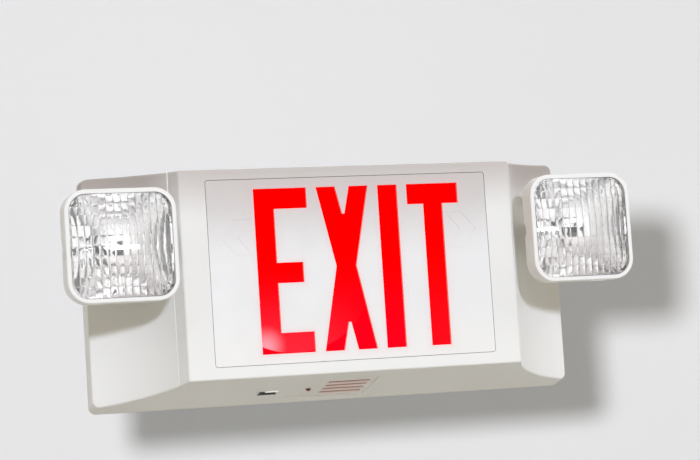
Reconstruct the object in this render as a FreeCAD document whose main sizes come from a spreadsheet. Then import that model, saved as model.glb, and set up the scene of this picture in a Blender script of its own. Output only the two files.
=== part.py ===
"""Wall-mounted emergency exit light: an illuminated sign with two adjustable lamp heads.

Frame: +X to the sign's right, +Y back into the wall, +Z up. The origin is on the wall plane,
in the middle of the supply knockout, level with the middle of the sign's face.
Millimetres and degrees throughout.
"""

import FreeCAD, Part
import Sketcher
import math
import os

from FreeCAD import Placement, Rotation, Vector

SIZES = {
    # Housing: front cover and back plate
    "housing_width": 474,
    "housing_depth": 93,
    "face_width": 323,
    "face_height": 192,
    "wing_depth": 72,
    "wing_radius": 140,
    "shoulder_width": 6.5,
    "shoulder_depth": 14.5,
    "top_draft": 2,
    "bottom_draft": 14.3,
    "wall": 2.6,
    "corner_radius": 7,
    "edge_radius": 2,
    "plate_thickness": 3,
    "seam": 0.2,
    "rim_height": 7,
    "rim_wall": 2,
    "rim_gap": 0.4,
    # Wall fixings in the back plate
    "knockout_radius": 11.1,
    "fixing_spacing": 300,
    "fixing_rise": 120,
    "fixing_radius": 2.6,
    "box_spacing": 88.9,
    "box_screw_radius": 2.3,
    "keyhole_spacing": 200,
    "keyhole_z": 62,
    "keyhole_radius": 4.5,
    "keyhole_slot": 2.4,
    "keyhole_rise": 8,
    # Sign face
    "panel_side_margin": 25.3,
    "panel_margin": 10.8,
    "panel_rise": 0.8,
    "panel_thickness": 2.6,
    "panel_radius": 2.5,
    "panel_gap": 0.5,
    "ledge_width": 6,
    "ledge_thickness": 2,
    "diffuser_gap": 0.4,
    # Light tray and its lamps
    "tray_wall": 1.6,
    "tray_depth": 40,
    "light_window_width": 46,
    "light_window_depth": 24,
    "strip_length": 236,
    "strip_width": 14,
    "board_thickness": 1.6,
    "led_length": 3.5,
    "led_height": 1.9,
    "led_count": 12,
    "led_pitch": 19,
    # Underside: down-light slots, test button, status light
    "slot_length": 41,
    "slot_width": 5.4,
    "slot_pitch": 10.8,
    "slot_setback": 34,
    "slot_count": 4,
    "recess_left": 54,
    "recess_right": 26,
    "recess_setback": 20.5,
    "recess_length": 56,
    "recess_depth": 0.8,
    "lens_thickness": 2,
    "button_x": -70,
    "button_setback": 56,
    "button_width": 10,
    "button_length": 8,
    "button_gap": 0.4,
    "button_flange": 1.8,
    "button_flange_height": 1.4,
    "button_inset": 3.5,
    "well_width": 19,
    "well_length": 14,
    "well_depth": 5,
    "well_wall": 2,
    "button_sink": 1,
    "button_travel": 1.2,
    "switch_width": 6.2,
    "switch_height": 4.6,
    "plunger_radius": 1.7,
    "button_pad_height": 0.8,
    "status_x": -35,
    "status_setback": 52,
    "status_radius": 2.5,
    "status_gap": 0.3,
    "status_length": 8.6,
    "status_proud": 1.2,
    "service_board_lift": 18,
    "service_board_width": 68,
    "service_board_length": 54,
    # Electronics on the back plate
    "post_height": 6,
    "post_radius": 3.5,
    "main_board_width": 116,
    "main_board_height": 78,
    "main_board_x": -100,
    "main_board_z": -10,
    "board_hole_inset": 5,
    "screw_radius": 1.4,
    "screw_head_radius": 2.8,
    "screw_head_height": 1.8,
    "screw_length": 6,
    "coil_width": 30,
    "coil_height": 32,
    "coil_depth": 27,
    "core_width": 44,
    "core_height": 18,
    "core_depth": 30,
    "core_gap": 0.2,
    "capacitor_radius": 5,
    "capacitor_height": 16,
    "cell_radius": 11.3,
    "cell_length": 43,
    "cell_count": 5,
    "battery_x": 100,
    "battery_z": -10,
    "strap_width": 14,
    "strap_thickness": 1.6,
    "strap_foot": 9,
    "terminal_width": 32,
    "terminal_height": 15,
    "terminal_depth": 17,
    "terminal_z": 48,
    # Lamp heads: a square bezel and lens on a round bowl, held through a track slot
    "lamp_inset": 15,
    "lamp_z": 28,
    "lamp_reach": 28,
    "lamp_width": 101.6,
    "lamp_radius": 20,
    "bezel_depth": 20,
    "bezel_lip": 4,
    "bezel_wall": 2.2,
    "bezel_front": 2.5,
    "bezel_edge": 1.2,
    "pivot_depth": 8,
    "bowl_radius": 49.5,
    "bowl_wall": 2.2,
    "bowl_gap": 0.3,
    "track_height": 14,
    "notch_depth": 4,
    "lens_wall": 2,
    "lens_crown": 6,
    "lens_edge": 1.5,
    "reflector_wall": 1.2,
    "reflector_radius": 45,
    "reflector_depth": 28,
    "reflector_flange": 1.5,
    "reflector_hole": 7,
    "socket_radius": 9.5,
    "socket_length": 9,
    "bulb_radius": 6,
    "bulb_length": 21,
    "bulb_base_radius": 3.7,
    "bulb_base_length": 6,
    # Swivel necks
    "boss_radius": 14,
    "boss_setback": 50,
    "neck_radius": 6.5,
    "neck_bore": 3.5,
    "neck_fit": 0.08,
    "collar_front_radius": 11,
    "collar_radius": 13,
    "collar_band": 4,
    "running_gap": 0.2,
    "shoe_width": 28,
    "shoe_height": 24,
    "shoe_thickness": 5.5,
    "shoe_corner": 3,
    "washer_radius": 11,
    "washer_thickness": 1,
    "swivel_nut_flats": 19,
    "swivel_nut_thickness": 5,
    "track_nut_flats": 17,
    "track_nut_thickness": 3,
    "thread_end": 1,
}

SIDES = {"left": -1, "right": 1}

doc = FreeCAD.newDocument("exit_light")
sheet = doc.addObject("Spreadsheet::Sheet", "Sizes")
subparts = []


class Size:
    """A number that remembers the spreadsheet formula it came from."""

    def __init__(self, value, text):
        self.value = float(value)
        self.text = text

    @staticmethod
    def of(other):
        return other if isinstance(other, Size) else Size(other, "%.6g" % other)

    def _join(self, other, sign, value):
        return Size(value, "(%s %s %s)" % (self.text, sign, other.text))

    def __add__(self, other):
        other = Size.of(other)
        return self._join(other, "+", self.value + other.value)

    def __sub__(self, other):
        other = Size.of(other)
        return self._join(other, "-", self.value - other.value)

    def __mul__(self, other):
        other = Size.of(other)
        return self._join(other, "*", self.value * other.value)

    def __truediv__(self, other):
        other = Size.of(other)
        return self._join(other, "/", self.value / other.value)

    def __radd__(self, other):
        return Size.of(other) + self

    def __rsub__(self, other):
        return Size.of(other) - self

    def __rmul__(self, other):
        return Size.of(other) * self

    def __neg__(self):
        return Size(-self.value, "(0 - %s)" % self.text)


def tangent(angle):
    return Size(math.tan(math.radians(angle.value)), "tan(%s)" % angle.text)


def cosine(angle):
    return Size(math.cos(math.radians(angle.value)), "cos(%s)" % angle.text)


def root(size):
    return Size(math.sqrt(size.value), "sqrt(%s)" % size.text)


class Driving:
    """The driving sizes, written to the spreadsheet and read as attributes."""

    def __init__(self, values):
        for row, (name, value) in enumerate(values.items(), start=1):
            sheet.set("A%d" % row, name)
            sheet.set("B%d" % row, "%g" % value)
            sheet.setAlias("B%d" % row, name)
            setattr(self, name, Size(value, "Sizes." + name))


size = Driving(SIZES)
doc.recompute()


# Tools for sketches, features and primitives

def bind(target, **sizes):
    """Tie properties to the spreadsheet, with their present value as a start."""
    for name, value in sizes.items():
        value = Size.of(value)
        setattr(target, name, value.value)
        target.setExpression(name, value.text)


def place(target, x=0, y=0, z=0, turn=None):
    """Put an object at a point tied to the spreadsheet."""
    spot = [Size.of(value) for value in (x, y, z)]
    target.Placement = Placement(Vector(*[value.value for value in spot]), turn or Rotation())
    for axis, value in zip("xyz", spot):
        target.setExpression("Placement.Base." + axis, value.text)
    return target


def new_body(name):
    body = doc.addObject("PartDesign::Body", name)
    body.Label = name
    return body


def keep(item, label):
    """Count a finished object as a sub-part, under the label that names its file."""
    item.Label = label
    subparts.append(item)
    return item


def sketch_on(body, name, role="XZ_Plane", lift=0):
    """A sketch on one of the body's origin planes, lifted along that plane's normal."""
    sketch = body.newObject("Sketcher::SketchObject", name)
    plane = next(item for item in body.Origin.OriginFeatures if item.Role == role)
    sketch.AttachmentSupport = (plane, "")
    sketch.MapMode = "FlatFace"
    lift = Size.of(lift)
    sketch.AttachmentOffset = Placement(Vector(0, 0, lift.value), Rotation())
    sketch.setExpression("AttachmentOffset.Base.z", lift.text)
    return sketch


def fix_point(sketch, edge, end, x, y):
    for kind, value in (("DistanceX", x), ("DistanceY", y)):
        value = Size.of(value)
        where = sketch.addConstraint(Sketcher.Constraint(kind, -1, 1, edge, end, value.value))
        sketch.setExpression("Constraints[%d]" % where, value.text)


def fix_radius(sketch, edge, radius):
    where = sketch.addConstraint(Sketcher.Constraint("Radius", edge, radius.value))
    sketch.setExpression("Constraints[%d]" % where, radius.text)


def arc_between(start, end, radius, way):
    """The shorter arc over a chord; way is 1 to bulge to the right of the walk, -1 to the left."""
    chord = end - start
    right = Vector(chord.y, -chord.x, 0).normalize()
    height = math.sqrt(radius ** 2 - chord.Length ** 2 / 4)
    centre = (start + end) / 2 - right * height * way
    first, last = (start, end) if way > 0 else (end, start)
    angles = [math.atan2(spot.y - centre.y, spot.x - centre.x) for spot in (first, last)]
    if angles[1] < angles[0]:
        angles[1] += 2 * math.pi
    return Part.ArcOfCircle(Part.Circle(centre, Vector(0, 0, 1), radius), *angles)


def outline(sketch, points, arcs=None):
    """A closed outline, walked anticlockwise; arcs gives the radius of a side by its start.

    A side with a plain radius bulges out of the outline, one with ("in", radius) into it.
    """
    sides = {}
    for number, radius in (arcs or {}).items():
        inward = isinstance(radius, tuple)
        sides[number] = (-1 if inward else 1, radius[1] if inward else radius)
    spots = [Vector(Size.of(x).value, Size.of(y).value, 0) for x, y in points]
    first = sketch.GeometryCount
    ends = []
    for number, start in enumerate(spots):
        end = spots[(number + 1) % len(spots)]
        way, radius = sides.get(number, (1, None))
        if radius is None:
            sketch.addGeometry(Part.LineSegment(start, end))
        else:
            sketch.addGeometry(arc_between(start, end, radius.value, way))
        ends.append((1, 2) if way > 0 else (2, 1))
    for number in range(len(spots)):
        after = (number + 1) % len(spots)
        sketch.addConstraint(Sketcher.Constraint(
            "Coincident", first + number, ends[number][1], first + after, ends[after][0]))
    for number, (x, y) in enumerate(points):
        fix_point(sketch, first + number, ends[number][0], x, y)
    for number, (way, radius) in sides.items():
        fix_radius(sketch, first + number, radius)


def rectangle(sketch, width, height, x=0, z=0, radius=None):
    half_w, half_h = width / 2, height / 2
    if radius is None:
        outline(sketch, [(x - half_w, z - half_h), (x + half_w, z - half_h),
                         (x + half_w, z + half_h), (x - half_w, z + half_h)])
        return
    outline(sketch, [
        (x - half_w + radius, z - half_h), (x + half_w - radius, z - half_h),
        (x + half_w, z - half_h + radius), (x + half_w, z + half_h - radius),
        (x + half_w - radius, z + half_h), (x - half_w + radius, z + half_h),
        (x - half_w, z + half_h - radius), (x - half_w, z - half_h + radius)],
        {1: radius, 3: radius, 5: radius, 7: radius})


def circle(sketch, radius, x=0, z=0):
    radius = Size.of(radius)
    centre = Vector(Size.of(x).value, Size.of(z).value, 0)
    edge = sketch.addGeometry(Part.Circle(centre, Vector(0, 0, 1), radius.value))
    fix_point(sketch, edge, 3, x, z)
    fix_radius(sketch, edge, radius)


def slab(body, name, rear, front, draw):
    """Material between two depths, drawn as seen from the front."""
    sketch = sketch_on(body, name + "_outline", lift=-rear)
    draw(sketch)
    pad = body.newObject("PartDesign::Pad", name)
    pad.Profile = sketch
    bind(pad, Length=rear - front)
    return pad


def well(body, name, front, rear, draw):
    """A cut between two depths, drawn as seen from the front."""
    sketch = sketch_on(body, name + "_outline", lift=-front)
    draw(sketch)
    pocket = body.newObject("PartDesign::Pocket", name)
    pocket.Profile = sketch
    bind(pocket, Length=rear - front)
    return pocket


def bar(body, name, x, width, points, cut=False):
    """A side view (y, z) given a width along X, as material or as a cut."""
    sketch = sketch_on(body, name + "_side", "YZ_Plane", x)
    outline(sketch, points)
    kind = "PartDesign::Pocket" if cut else "PartDesign::Pad"
    feature = body.newObject(kind, name)
    feature.Profile = sketch
    feature.Midplane = True
    bind(feature, Length=width)
    return feature


def turned(body, name, points, arcs=None, cut=False):
    """A profile (radius, y) turned about the body's Y axis."""
    sketch = sketch_on(body, name + "_profile", "XY_Plane")
    outline(sketch, points, arcs)
    kind = "PartDesign::Groove" if cut else "PartDesign::Revolution"
    feature = body.newObject(kind, name)
    feature.Profile = sketch
    feature.ReferenceAxis = (sketch, ["V_Axis"])
    feature.Angle = 360
    return feature


def edges_where(feature, test):
    """The names of a feature's edges whose middle point passes a test."""
    doc.recompute()
    names = []
    for number, edge in enumerate(feature.Shape.Edges, start=1):
        middle = edge.valueAt((edge.FirstParameter + edge.LastParameter) / 2)
        if test(edge, middle):
            names.append("Edge%d" % number)
    return names


def fillet(body, name, radius, test):
    base = body.Tip
    feature = body.newObject("PartDesign::Fillet", name)
    feature.Base = (base, edges_where(base, test))
    bind(feature, Radius=radius)
    return feature


def box(label, x, y, z, width, depth, height):
    item = doc.addObject("Part::Box", label)
    bind(item, Length=width, Width=depth, Height=height)
    return place(item, x, y, z)


def cylinder(label, x, y, z, radius, length, along="y"):
    """A cylinder that starts at a point and runs along +Y or +Z."""
    turn = {"y": Rotation(Vector(1, 0, 0), -90), "z": Rotation()}[along]
    item = doc.addObject("Part::Cylinder", label)
    bind(item, Radius=radius, Height=length)
    return place(item, x, y, z, turn)


def joined(label, items, kind="Part::MultiFuse"):
    whole = doc.addObject(kind, label)
    if kind == "Part::Compound":
        whole.Links = items
    else:
        whole.Shapes = items
    return whole


def less(label, base, tool):
    cut = doc.addObject("Part::Cut", label)
    cut.Base = base
    cut.Tool = tool
    return cut


# Places shared by several pieces

face_y = -size.housing_depth
cover_back_y = -size.plate_thickness - size.seam
plate_front_y = -size.plate_thickness
wing_y = face_y + size.wing_depth
half_width = size.housing_width / 2
half_face = size.face_width / 2
half_height = size.face_height / 2
lamp_x = half_width - size.lamp_inset
panel_width = size.face_width - size.panel_side_margin * 2
panel_height = size.face_height - size.panel_margin * 2
top_rise = tangent(size.top_draft)
bottom_rise = tangent(size.bottom_draft)

panel_back_y = face_y + size.panel_thickness
tray_front_y = panel_back_y + size.ledge_thickness
tray_back_y = tray_front_y + size.tray_depth
window_width = panel_width - size.ledge_width * 2
window_height = panel_height - size.ledge_width * 2
tray_width = window_width + size.tray_wall * 2
tray_height = window_height + size.tray_wall * 2
tray_floor_z = size.panel_rise - tray_height / 2

boss_y = face_y + size.boss_setback
boss_inner_y = boss_y + size.wall
pivot_y = face_y - size.lamp_reach + size.pivot_depth
bezel_front_y = -size.pivot_depth
bezel_rear_y = bezel_front_y + size.bezel_depth
lens_seat_y = bezel_front_y + size.bezel_front
lens_back_y = lens_seat_y + size.lens_wall
bowl_front_y = lens_back_y + size.reflector_flange
bowl_inner_radius = size.bowl_radius - size.bowl_wall
bowl_width = size.lamp_width - (size.bezel_wall + size.bowl_gap) * 2
reflector_back_y = bowl_front_y + size.reflector_depth
socket_front_y = reflector_back_y + size.reflector_wall


def top_z(y):
    """The cover's outer top surface at a depth."""
    return half_height + top_rise * (y - face_y)


def bottom_z(y, inset=0):
    """The cover's sloped underside at a depth, or a parallel surface inside it."""
    level = -half_height - bottom_rise * (y - face_y)
    return level + inset / cosine(size.bottom_draft) if inset else level


# Housing

button_y = face_y + size.button_setback
well_top_z = bottom_z(button_y) + size.well_depth + size.well_wall
service_board_z = bottom_z(button_y) + size.service_board_lift


def build_front_cover():
    body = new_body("front_cover")

    plan = sketch_on(body, "cover_plan", "XY_Plane")
    sweep = ("in", size.wing_radius)
    shoulder_x, shoulder_y = half_face + size.shoulder_width, face_y + size.shoulder_depth
    outline(plan, [(half_width, cover_back_y), (-half_width, cover_back_y),
                   (-half_width, wing_y), (-shoulder_x, shoulder_y), (-half_face, face_y),
                   (half_face, face_y), (shoulder_x, shoulder_y), (half_width, wing_y)],
            {2: sweep, 6: sweep})
    block = body.newObject("PartDesign::Pad", "cover_block")
    block.Profile = plan
    block.Midplane = True
    bind(block, Length=size.face_height * 2)

    front, rear = face_y - size.wall, cover_back_y + size.wall
    bar(body, "top_draft_cut", 0, size.housing_width * 2, [
        (front, top_z(front)), (rear, top_z(rear)),
        (rear, size.face_height), (front, size.face_height)], cut=True)
    bar(body, "bottom_draft_cut", 0, size.housing_width * 2, [
        (front, -size.face_height), (rear, -size.face_height),
        (rear, bottom_z(rear)), (front, bottom_z(front))], cut=True)

    reach = half_width.value - 0.1
    fillet(body, "wing_corners", size.corner_radius, lambda edge, middle:
           abs(middle.x) > reach and edge.BoundBox.YLength > edge.BoundBox.ZLength
           and middle.y > wing_y.value and abs(middle.y - cover_back_y.value) > 1)

    doc.recompute()
    base = body.Tip
    rear_face = next("Face%d" % number for number, face in enumerate(base.Shape.Faces, start=1)
                     if abs(face.CenterOfMass.y - cover_back_y.value) < 0.05)
    shell = body.newObject("PartDesign::Thickness", "cover_shell")
    shell.Base = (base, [rear_face])
    shell.Reversed = True
    bind(shell, Value=size.wall)

    def outside_front(edge, middle):
        outer = (abs(middle.z - top_z(middle.y).value) < 0.01
                 or abs(middle.z - bottom_z(middle.y).value) < 0.01
                 or abs(middle.y - face_y.value) < 0.01)
        return outer and middle.y < wing_y.value + 0.5

    fillet(body, "front_edges", size.edge_radius, outside_front)

    ledge_rear = tray_front_y
    slab(body, "panel_ledge", ledge_rear, face_y + size.wall / 2, lambda sketch: rectangle(
        sketch, panel_width + size.ledge_width, panel_height + size.ledge_width,
        z=size.panel_rise))
    opening_w = panel_width + size.panel_gap * 2
    opening_h = panel_height + size.panel_gap * 2
    well(body, "panel_opening", face_y - 1, panel_back_y, lambda sketch: rectangle(
        sketch, opening_w, opening_h, z=size.panel_rise,
        radius=size.panel_radius + size.panel_gap))
    well(body, "light_opening", face_y - 1, ledge_rear + 1, lambda sketch: rectangle(
        sketch, window_width, window_height, z=size.panel_rise))

    def two_circles(radius):
        def draw(sketch):
            for side in SIDES.values():
                circle(sketch, radius, lamp_x * side, size.lamp_z)
        return draw

    slab(body, "lamp_bosses", wing_y + size.wall, boss_y, two_circles(size.boss_radius))
    well(body, "lamp_boss_cups", boss_inner_y, wing_y + size.wall * 2,
         two_circles(size.boss_radius - size.wall))
    well(body, "neck_holes", boss_y - 1, boss_inner_y + 1,
         two_circles(size.neck_radius + size.neck_fit))

    start = face_y + size.recess_setback
    end = start + size.recess_length
    bar(body, "slot_recess", (size.recess_right - size.recess_left) / 2,
        size.recess_right + size.recess_left, [
        (start, bottom_z(start) - size.wall), (end, bottom_z(end) - size.wall),
        (end, bottom_z(end, size.recess_depth)), (start, bottom_z(start, size.recess_depth))],
        cut=True)
    middle = face_y + size.button_setback
    well_x = size.button_x - size.button_inset
    outer_half = size.well_length / 2 + size.well_wall
    bar(body, "button_well", well_x, size.well_width + size.well_wall * 2, [
        (middle - outer_half, bottom_z(middle - outer_half, size.wall / 2)),
        (middle + outer_half, bottom_z(middle + outer_half, size.wall / 2)),
        (middle + outer_half, well_top_z), (middle - outer_half, well_top_z)])
    inner_half = size.well_length / 2
    bar(body, "button_well_hollow", well_x, size.well_width, [
        (middle - inner_half, bottom_z(middle - inner_half) - size.wall),
        (middle + inner_half, bottom_z(middle + inner_half) - size.wall),
        (middle + inner_half, well_top_z - size.well_wall),
        (middle - inner_half, well_top_z - size.well_wall)], cut=True)

    holes = sketch_on(body, "underside_holes", "XY_Plane")
    for number in range(int(size.slot_count.value)):
        y = face_y + size.slot_setback + size.slot_pitch * number
        rectangle(holes, size.slot_length, size.slot_width, 0, y)
    rectangle(holes, size.button_width + size.button_gap * 2,
              size.button_length + size.button_gap * 2, size.button_x, middle)
    circle(holes, size.status_radius + size.status_gap,
           size.status_x, face_y + size.status_setback)
    cut = body.newObject("PartDesign::Pocket", "underside_openings")
    cut.Profile = holes
    cut.Type = "ThroughAll"
    return keep(body, "front_cover")


def build_back_plate():
    body = new_body("back_plate")
    bar(body, "plate", 0, size.housing_width, [
        (plate_front_y, bottom_z(plate_front_y)), (0, bottom_z(Size.of(0))),
        (0, top_z(Size.of(0))), (plate_front_y, top_z(plate_front_y))])
    fillet(body, "plate_corners", size.corner_radius, lambda edge, middle:
           abs(middle.x) > half_width.value - 0.1
           and abs(middle.y - plate_front_y.value / 2) < 0.5)

    inset = size.wall + size.rim_gap
    rim_top = top_z(cover_back_y - size.rim_height) - inset
    rim_bottom = bottom_z(cover_back_y - size.rim_height) + inset / cosine(size.bottom_draft)
    middle_z = (rim_top + rim_bottom) / 2
    rim_w, rim_h = size.housing_width - inset * 2, rim_top - rim_bottom
    rim_front = cover_back_y - size.rim_height
    slab(body, "locating_rim", plate_front_y, rim_front, lambda sketch: rectangle(
        sketch, rim_w, rim_h, z=middle_z, radius=size.corner_radius - size.wall))
    well(body, "rim_hollow", rim_front, plate_front_y, lambda sketch: rectangle(
        sketch, rim_w - size.rim_wall * 2, rim_h - size.rim_wall * 2, z=middle_z))

    def posts(sketch):
        for x, z in board_corners():
            circle(sketch, size.post_radius, x, z)

    slab(body, "board_posts", plate_front_y, plate_front_y - size.post_height, posts)
    rib_top = service_board_z
    for side in (-1, 1):
        x = service_board_x() + (size.service_board_width / 2 - size.rim_wall) * side
        bar(body, "service_rib_%s" % ("inner" if side > 0 else "outer"), x, size.rim_wall, [
            (plate_front_y - size.service_board_length / 2, rib_top - size.rim_wall),
            (plate_front_y, rib_top - size.rim_wall * 2), (plate_front_y, rib_top),
            (plate_front_y - size.service_board_length / 2, rib_top)])

    def holes(sketch):
        circle(sketch, size.knockout_radius)
        for side in (-1, 1):
            circle(sketch, size.box_screw_radius, size.box_spacing / 2 * side, 0)
            for level in (-1, 1):
                circle(sketch, size.fixing_radius, size.fixing_spacing / 2 * side,
                       size.fixing_rise / 2 * level)

    def keyhole_ends(sketch):
        for side in (-1, 1):
            x = size.keyhole_spacing / 2 * side
            circle(sketch, size.keyhole_radius, x, size.keyhole_z)
            circle(sketch, size.keyhole_slot, x, size.keyhole_z + size.keyhole_rise)

    def keyhole_slots(sketch):
        for side in (-1, 1):
            rectangle(sketch, size.keyhole_slot * 2, size.keyhole_rise,
                      size.keyhole_spacing / 2 * side, size.keyhole_z + size.keyhole_rise / 2)

    well(body, "wall_openings", rim_front, 1, holes)
    well(body, "keyhole_ends", rim_front, 1, keyhole_ends)
    well(body, "keyhole_slots", rim_front, 1, keyhole_slots)
    well(body, "board_screw_holes", rim_front - 1, plate_front_y, lambda sketch: [
        circle(sketch, size.screw_radius, x, z) for x, z in board_corners()])
    return keep(body, "back_plate")


def board_corners():
    """The centres of the main board's four screws."""
    across = size.main_board_width / 2 - size.board_hole_inset
    up = size.main_board_height / 2 - size.board_hole_inset
    return [(size.main_board_x + across * i, size.main_board_z + up * j)
            for i in (-1, 1) for j in (-1, 1)]


def service_board_x():
    """The middle of the small board above the test button and the status light."""
    return (size.button_x + size.status_x) / 2


# Sign face and its light

def build_sign_face():
    panel = new_body("stencil_panel")
    slab(panel, "panel_plate", panel_back_y, face_y, lambda sketch: rectangle(
        sketch, panel_width, panel_height, z=size.panel_rise,
        radius=size.panel_radius))
    keep(panel, "stencil_panel")

    width = window_width - size.diffuser_gap * 2
    height = window_height - size.diffuser_gap * 2
    keep(box("red_diffuser", -width / 2, panel_back_y, size.panel_rise - height / 2,
             width, size.ledge_thickness, height), "red_diffuser")

    tray = new_body("light_tray")
    slab(tray, "tray_block", tray_back_y, tray_front_y, lambda sketch: rectangle(
        sketch, tray_width, tray_height, z=size.panel_rise))
    well(tray, "tray_hollow", tray_front_y - 1, tray_back_y - size.tray_wall,
         lambda sketch: rectangle(sketch, window_width, window_height, z=size.panel_rise))
    window_back = tray_back_y - size.tray_wall * 2
    window_front = window_back - size.light_window_depth
    bar(tray, "down_light_window", 0, size.light_window_width, [
        (window_front, tray_floor_z - 1), (window_back, tray_floor_z - 1),
        (window_back, tray_floor_z + size.tray_wall * 2),
        (window_front, tray_floor_z + size.tray_wall * 2)], cut=True)
    keep(tray, "light_tray")

    strip_y = (tray_front_y + tray_back_y) / 2 - size.strip_width / 2
    strip_z = size.panel_rise + window_height / 2 - size.board_thickness
    keep(box("legend_led_board", -size.strip_length / 2, strip_y, strip_z,
             size.strip_length, size.strip_width, size.board_thickness), "legend_led_board")
    leds = []
    for number in range(int(size.led_count.value)):
        x = size.led_pitch * (number - (int(size.led_count.value) - 1) / 2)
        leds.append(box("legend_led_%d" % (number + 1), x - size.led_length / 2,
                        strip_y + (size.strip_width - size.led_length) / 2,
                        strip_z - size.led_height,
                        size.led_length, size.led_length, size.led_height))
    keep(joined("legend_leds", leds, "Part::Compound"), "legend_leds")


# Underside

def build_underside():
    lens = new_body("down_light_lens")
    start = face_y + size.recess_setback
    end = start + size.recess_length
    inner = size.wall
    bar(lens, "lens_plate", 0, size.recess_right * 2, [
        (start, bottom_z(start, inner)), (end, bottom_z(end, inner)),
        (end, bottom_z(end, inner + size.lens_thickness)),
        (start, bottom_z(start, inner + size.lens_thickness))])
    keep(lens, "down_light_lens")

    board_z = service_board_z
    keep(box("service_board", service_board_x() - size.service_board_width / 2,
             plate_front_y - size.service_board_length, board_z,
             size.service_board_width, size.service_board_length, size.board_thickness),
         "service_board")

    x, y = size.button_x, button_y
    half_switch = size.switch_width / 2
    case = box("test_switch_case", x - half_switch, y - half_switch, board_z - size.switch_height,
               size.switch_width, size.switch_width, size.switch_height)
    hole_depth = size.switch_height - size.wall / 2
    bore = cylinder("test_switch_bore", x, y, board_z - size.switch_height - 1,
                    size.plunger_radius + size.neck_fit, hole_depth + 1, "z")
    keep(less("test_switch", case, bore), "test_switch")
    plunger_top = board_z - size.switch_height + hole_depth - size.button_travel - size.seam
    flange_z = well_top_z + size.seam
    plunger_z = flange_z + size.button_flange_height + size.button_pad_height
    tip_z = bottom_z(y) + size.button_sink
    keep(cylinder("switch_plunger", x, y, plunger_z,
                  size.plunger_radius, plunger_top - plunger_z, "z"), "switch_plunger")

    button = new_body("test_button")

    def level_block(name, low, high, width, length):
        sketch = sketch_on(button, name + "_outline", "XY_Plane", low)
        rectangle(sketch, width, length, x, y)
        pad = button.newObject("PartDesign::Pad", name)
        pad.Profile = sketch
        bind(pad, Length=high - low)

    level_block("button_stem", tip_z, flange_z, size.button_width, size.button_length)
    level_block("button_flange_plate", flange_z, flange_z + size.button_flange_height,
                size.button_width + size.button_flange * 2,
                size.button_length + size.button_flange * 2)
    level_block("button_pad", flange_z + size.button_flange_height, plunger_z,
                size.plunger_radius * 2, size.plunger_radius * 2)
    keep(button, "test_button")

    x, y = size.status_x, face_y + size.status_setback
    tip = bottom_z(y) - size.status_proud
    radius = size.status_radius
    led = doc.addObject("Part::Cylinder", "status_led_body")
    bind(led, Radius=radius, Height=size.status_length - radius)
    place(led, x, y, tip + radius)
    dome = doc.addObject("Part::Sphere", "status_led_dome")
    bind(dome, Radius=radius)
    place(dome, x, y, tip + radius)
    keep(joined("status_led", [led, dome]), "status_led")
    spacer_z = tip + size.status_length
    spacer = cylinder("led_spacer_tube", x, y, spacer_z, radius, board_z - spacer_z, "z")
    keep(less("led_spacer", spacer, cylinder(
        "led_spacer_bore", x, y, spacer_z - 1, radius / 2, board_z - spacer_z + 2, "z")),
        "led_spacer")


# Electronics

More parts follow.
